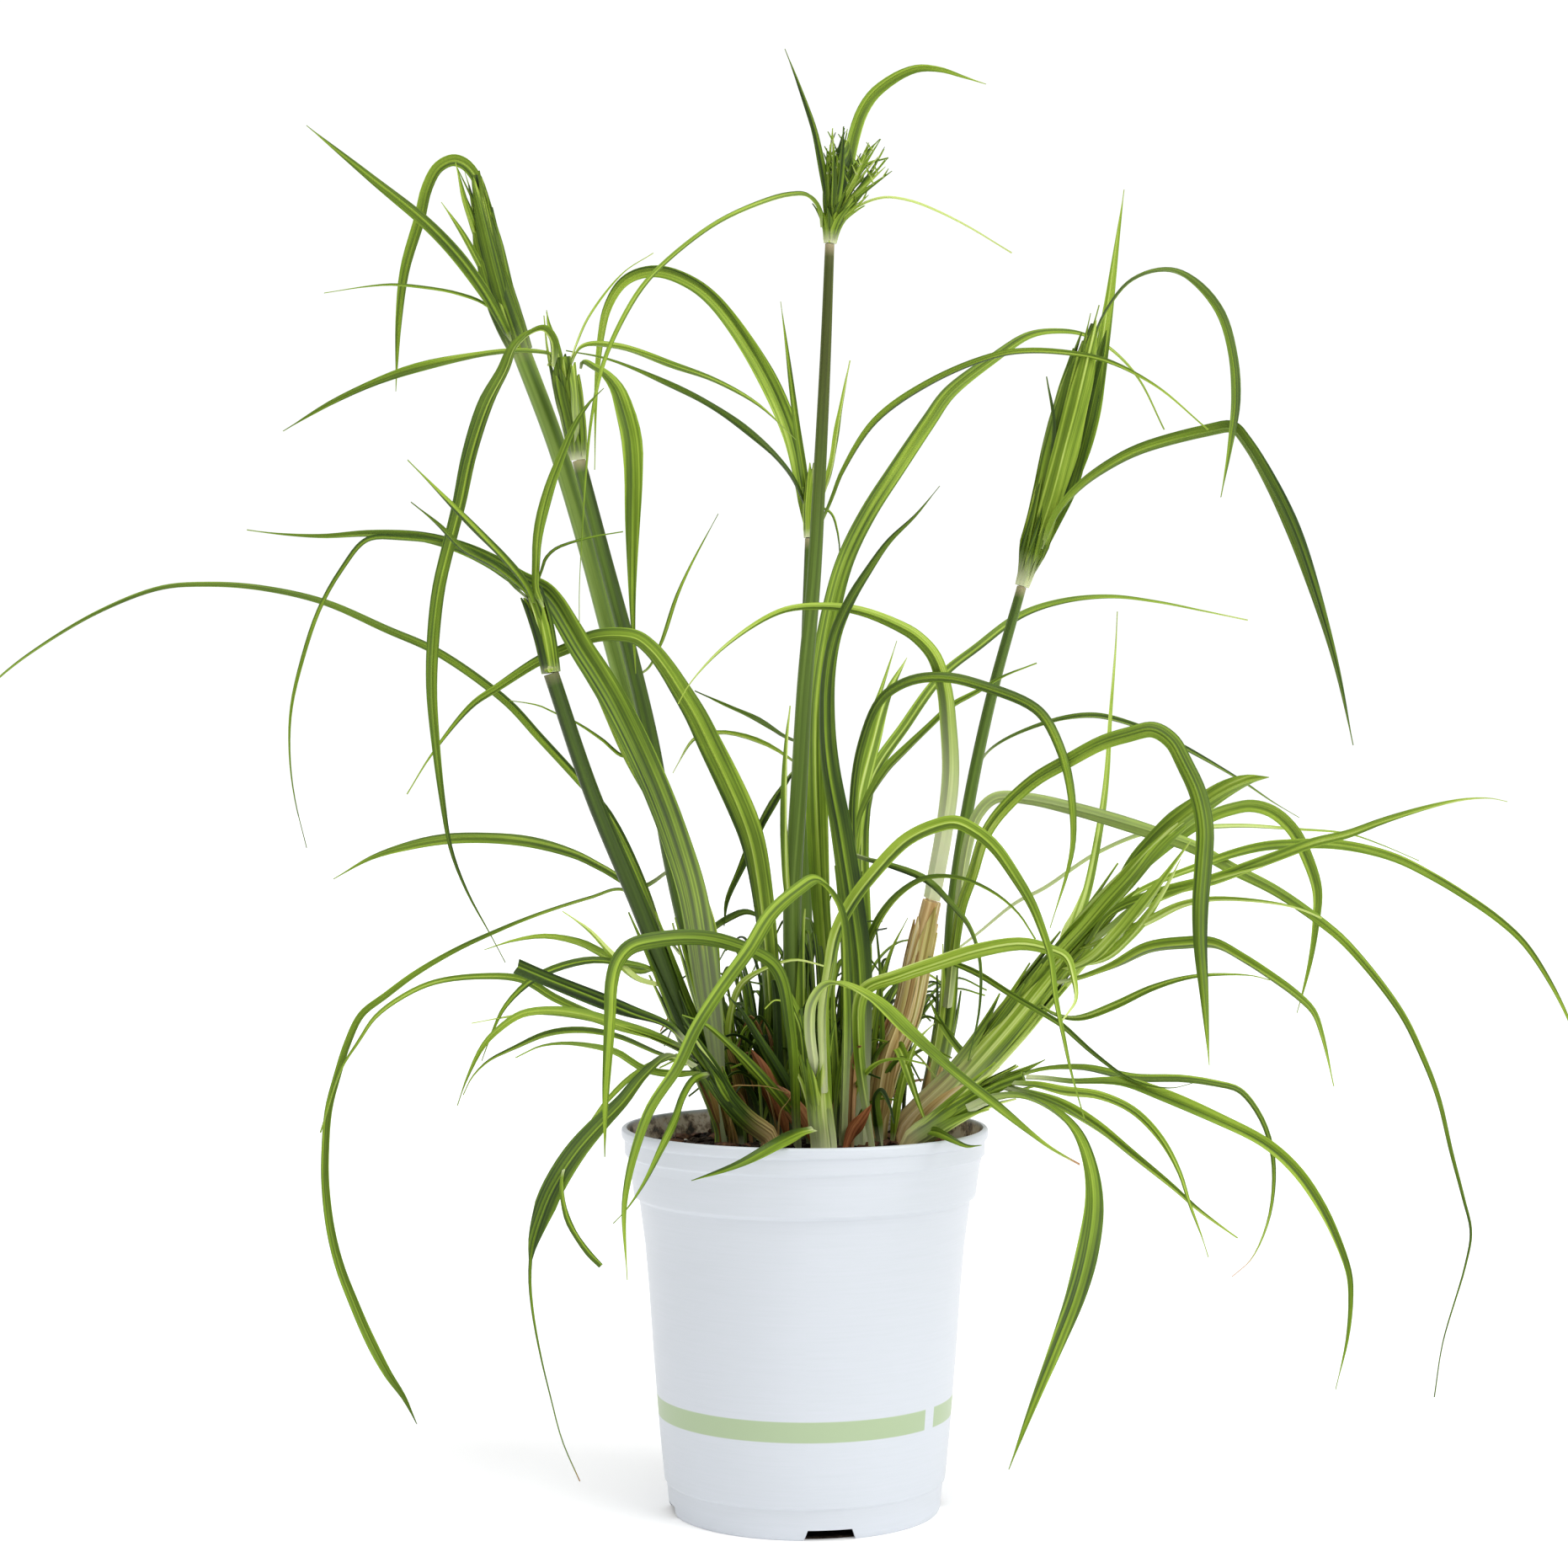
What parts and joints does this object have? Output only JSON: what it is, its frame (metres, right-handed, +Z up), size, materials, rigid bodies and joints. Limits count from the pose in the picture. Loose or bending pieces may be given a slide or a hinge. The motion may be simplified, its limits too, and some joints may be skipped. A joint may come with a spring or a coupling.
{
  "type": "potted papyrus plant",
  "caption": "Clumping papyrus with tall three-sided culms, umbels and long arching grass-like leaves, growing in a round tapered nursery pot.",
  "frame": {"origin": "on the ground under the middle of the plant's bounding box, which is within a few millimetres of the pot's axis", "axes": "+Z up along the pot's axis; the pictured front faces -Y, and +X is to the right as seen from the front"},
  "size_m": [0.5274, 0.424, 0.4713],
  "materials": {
    "pot_white": "satin moulded plastic, cool white, with a pale green band",
    "soil_brown": "dark crumbly peat and bark mix",
    "culm_green": "smooth satin green stem",
    "culm_olive": "smooth satin olive green stem",
    "shoot_pale": "pale green leaf sheaths",
    "sheath_tan": "dry papery leaf sheath",
    "leaf_green": "satin green leaf with a pale midrib",
    "leaf_light": "satin light green leaf",
    "leaf_dark": "satin dark green leaf"
  },
  "bodies": {
    "root": {"bract_back_arch": "leaf_green", "bract_back_right": "leaf_green", "bract_center_left": "leaf_green", "bract_center_tip": "leaf_green", "bract_low_upright": "leaf_green", "bract_mid_droop": "leaf_green", "bract_mid_hanging": "leaf_green", "bract_mid_left": "leaf_green", "bract_right_arch": "leaf_green", "bract_right_long": "leaf_green", "bract_right_spathe": "leaf_green", "bract_tall_fold": "leaf_green", "bract_tall_straight": "leaf_green", "culm_back": "culm_green", "culm_center": "culm_olive", "culm_left_low": "culm_green", "culm_left_mid": "culm_green", "culm_left_tall": "culm_green", "culm_right": "culm_green", "leaf_arch_behind": "leaf_green", "leaf_back_reach": "leaf_green", "leaf_center_broad": "leaf_green", "leaf_cut_end": "leaf_dark", "leaf_far_left": "leaf_green", "leaf_far_right": "leaf_green", "leaf_front_bend": "leaf_light", "leaf_front_left": "leaf_light", "leaf_front_reach": "leaf_light", "leaf_left_arch": "leaf_green", "leaf_left_broad": "leaf_green", "leaf_left_hang": "leaf_dark", "leaf_left_low_sweep": "leaf_green", "leaf_low_broad": "leaf_green", "leaf_low_long": "leaf_green", "leaf_middle_arch": "leaf_green", "leaf_over_rim": "leaf_green", "leaf_pale_arch": "leaf_light", "leaf_right_arch": "leaf_green", "leaf_right_blunt": "leaf_green", "leaf_right_curl": "leaf_light", "leaf_right_drop": "leaf_green", "leaf_right_hook": "leaf_green", "leaf_right_level": "leaf_green", "leaf_right_sweep": "leaf_green", "leaf_right_tip": "leaf_green", "pot": "pot_white", "potting_soil": "soil_brown", "sheath_dry": "sheath_tan", "shoot_front": "shoot_pale", "shoot_left": "leaf_dark", "shoot_middle": "leaf_green", "shoot_right": "shoot_pale", "shoot_right_low": "shoot_pale", "umbel_back": "leaf_green", "umbel_center": "leaf_green", "umbel_left_low": "leaf_green", "umbel_left_mid": "leaf_green", "umbel_left_tall": "leaf_green", "umbel_right": "leaf_green"}
  },
  "joints": []
}
